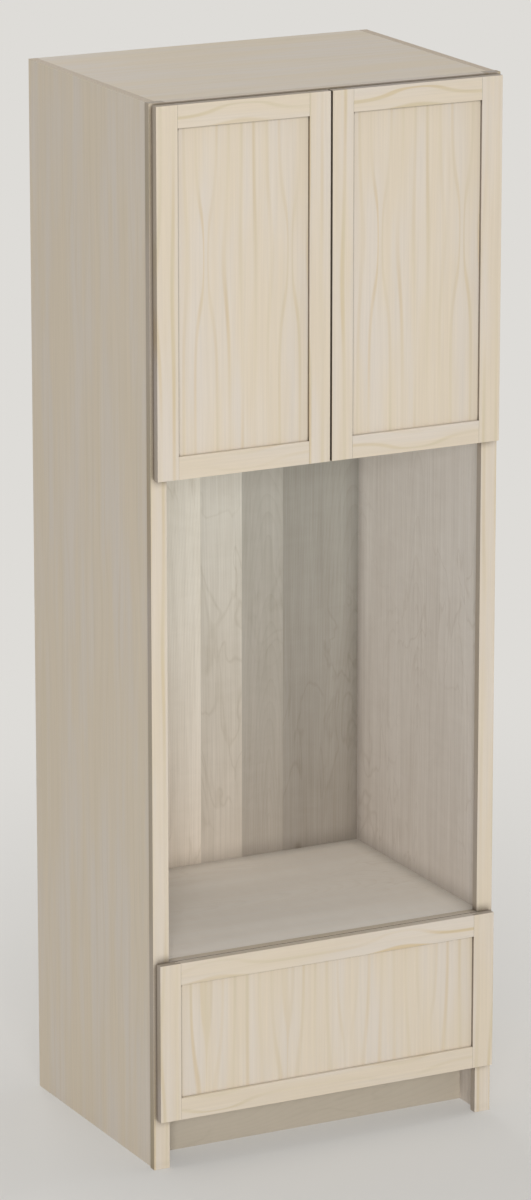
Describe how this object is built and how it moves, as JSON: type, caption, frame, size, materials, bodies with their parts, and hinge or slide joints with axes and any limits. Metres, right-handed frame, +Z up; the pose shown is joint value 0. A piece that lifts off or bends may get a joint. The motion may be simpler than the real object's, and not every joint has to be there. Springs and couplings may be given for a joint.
{
  "type": "tall oven housing cabinet",
  "caption": "Tall face-frame oven housing: framed flat-panel doors over an open oven recess, a wide drawer below and a recessed toe space.",
  "frame": {"origin": "on the floor, under the centre of the whole cabinet's box", "axes": "+Z up, -Y towards the room (the front), +Y towards the wall, +X to the right seen from the front"},
  "size_m": [0.8382, 0.6252, 2.3622],
  "materials": {
    "maple_case": "matt clear-sealed maple veneer on plywood",
    "maple_frame": "planed and sanded solid maple, unstained",
    "maple_front": "planed and sanded solid maple, unstained",
    "maple_flat_panel": "sanded plain-sliced maple, unstained",
    "maple_plywood": "sanded maple plywood, book-matched veneer leaves",
    "birch_box": "sanded birch plywood",
    "nickel_steel": "nickel-plated pressed steel",
    "zinc_slide": "zinc-plated rolled steel",
    "ball_steel": "polished steel balls in a steel strip",
    "screw_steel": "zinc-plated wood screws",
    "clear_bumper": "soft translucent bumper"
  },
  "bodies": {
    "root": {"side_panel_left": "maple_case", "side_panel_right": "maple_case", "top_panel": "maple_case", "cupboard_floor": "maple_plywood", "oven_deck": "maple_plywood", "base_panel": "maple_plywood", "back_panel": "maple_plywood", "toe_board": "maple_case", "hanging_rail": "maple_plywood", "deck_back_rail": "maple_plywood", "deck_cleats": "maple_plywood", "cleat_screws": "screw_steel", "frame_stile_left": "maple_frame", "frame_stile_right": "maple_frame", "frame_bottom_rail": "maple_frame", "frame_drawer_rail": "maple_frame", "frame_cupboard_rail": "maple_frame", "frame_top_rail": "maple_frame", "shelf": "maple_plywood", "shelf_pins": "nickel_steel", "hinge_arms": "nickel_steel", "arm_screws": "screw_steel", "slide_spacers": "maple_plywood", "slide_outer_members": "zinc_slide", "slide_outer_screws": "screw_steel"},
    "left_door": {"left_door_hinge_stile": "maple_front", "left_door_meeting_stile": "maple_front", "left_door_top_rail": "maple_front", "left_door_bottom_rail": "maple_front", "left_door_panel": "maple_flat_panel", "left_hinge_cups": "nickel_steel", "left_hinge_pins": "nickel_steel", "left_cup_screws": "screw_steel", "left_door_bumpers": "clear_bumper"},
    "right_door": {"right_door_hinge_stile": "maple_front", "right_door_meeting_stile": "maple_front", "right_door_top_rail": "maple_front", "right_door_bottom_rail": "maple_front", "right_door_panel": "maple_flat_panel", "right_hinge_cups": "nickel_steel", "right_hinge_pins": "nickel_steel", "right_cup_screws": "screw_steel", "right_door_bumpers": "clear_bumper"},
    "drawer": {"slide_inner_members": "zinc_slide", "slide_inner_screws": "screw_steel", "box_side_left": "birch_box", "box_side_right": "birch_box", "box_front": "birch_box", "box_back": "birch_box", "box_bottom": "birch_box", "drawer_left_stile": "maple_front", "drawer_right_stile": "maple_front", "drawer_top_rail": "maple_front", "drawer_bottom_rail": "maple_front", "drawer_panel": "maple_flat_panel", "drawer_front_screws": "screw_steel", "drawer_bumpers": "clear_bumper"},
    "slide_middle": {"slide_middle_members": "zinc_slide"},
    "outer_balls": {"slide_outer_balls": "ball_steel"},
    "inner_balls": {"slide_inner_balls": "ball_steel"}
  },
  "joints": [
    {"name": "left_door_hinge", "type": "hinge", "parent": "root", "child": "left_door", "pos_m": [-0.40525, -0.30262, 1.95635], "axis": [0, 0, -1], "range_deg": [0, 105]},
    {"name": "right_door_hinge", "type": "hinge", "parent": "root", "child": "right_door", "pos_m": [0.40525, -0.30262, 1.95635], "axis": [0, 0, 1], "range_deg": [0, 105]},
    {"name": "drawer_slide", "type": "slide", "parent": "root", "child": "drawer", "axis": [0, -1, 0], "range_m": [0, 0.5334]},
    {"name": "slide_middle_travel", "type": "slide", "parent": "root", "child": "slide_middle", "axis": [0, -1, 0], "range_m": [0, 0.2667]},
    {"name": "outer_balls_travel", "type": "slide", "parent": "root", "child": "outer_balls", "axis": [0, -1, 0], "range_m": [0, 0.13335]},
    {"name": "inner_balls_travel", "type": "slide", "parent": "root", "child": "inner_balls", "axis": [0, -1, 0], "range_m": [0, 0.40005]}
  ],
  "couplings": [
    {"joint": "slide_middle_travel", "follows": "drawer_slide", "ratio": 0.5},
    {"joint": "outer_balls_travel", "follows": "drawer_slide", "ratio": 0.25},
    {"joint": "inner_balls_travel", "follows": "drawer_slide", "ratio": 0.75}
  ]
}
